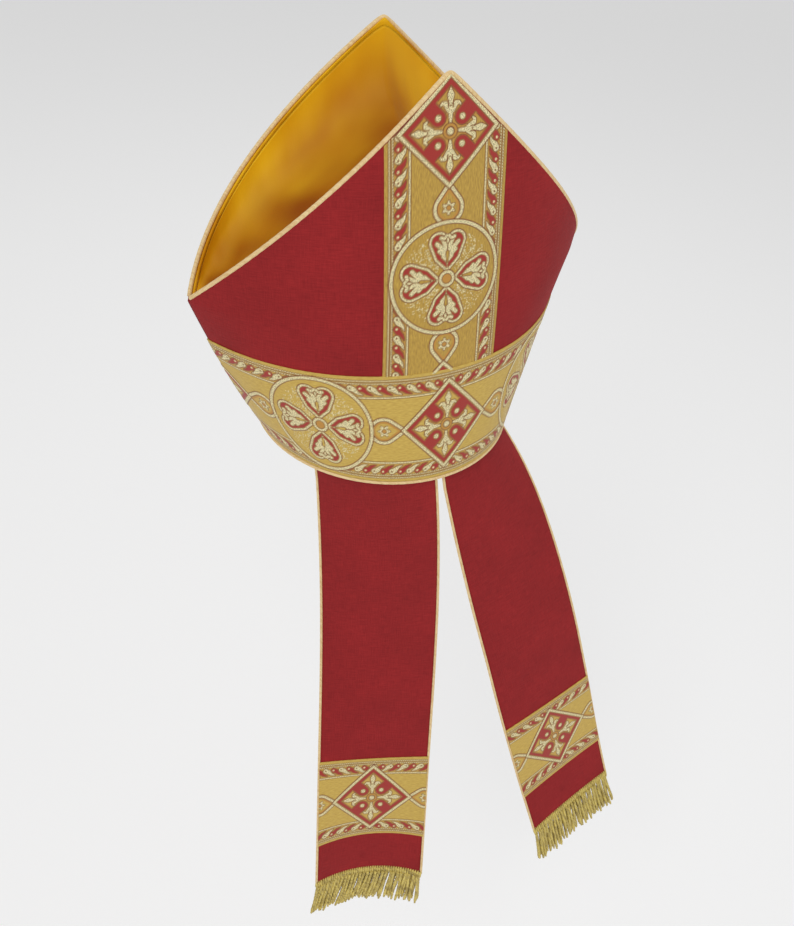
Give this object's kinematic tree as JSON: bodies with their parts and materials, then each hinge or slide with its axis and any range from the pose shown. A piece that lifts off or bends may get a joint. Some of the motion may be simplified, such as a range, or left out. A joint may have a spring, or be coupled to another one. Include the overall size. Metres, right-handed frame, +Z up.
{
  "type": "bishop mitre",
  "caption": "Soft-shelled bishop's mitre with two pointed panels, patterned galloon bands, satin-lined valley and fringed lappets hanging from the rim.",
  "frame": {"origin": "centre of the head opening, in the plane of the rim", "axes": "+Z up through the peaks, the wearer faces -Y, lappets and back panel on +Y, +X towards the wearer's left"},
  "size_m": [0.3665, 0.2947, 0.7413],
  "materials": {
    "red_cloth": "matt slubbed weave",
    "gold_satin": "smooth satin sheen",
    "woven_galloon": "jacquard braid with metallic thread",
    "cream_cord": "twisted cord",
    "gold_fringe": "twisted strands"
  },
  "bodies": {
    "root": {"back_panel": "red_cloth", "front_panel": "red_cloth", "left_lappet": "red_cloth", "right_lappet": "red_cloth", "back_lining": "gold_satin", "front_lining": "gold_satin", "lining_gusset": "gold_satin", "headband_orphrey": "woven_galloon", "back_orphrey": "woven_galloon", "front_orphrey": "woven_galloon", "left_lappet_orphrey": "woven_galloon", "right_lappet_orphrey": "woven_galloon", "back_edge_piping": "cream_cord", "front_edge_piping": "cream_cord", "rim_piping": "cream_cord", "left_lappet_inner_piping": "cream_cord", "left_lappet_outer_piping": "cream_cord", "right_lappet_inner_piping": "cream_cord", "right_lappet_outer_piping": "cream_cord", "left_lappet_fringe": "gold_fringe", "right_lappet_fringe": "gold_fringe"}
  },
  "joints": []
}
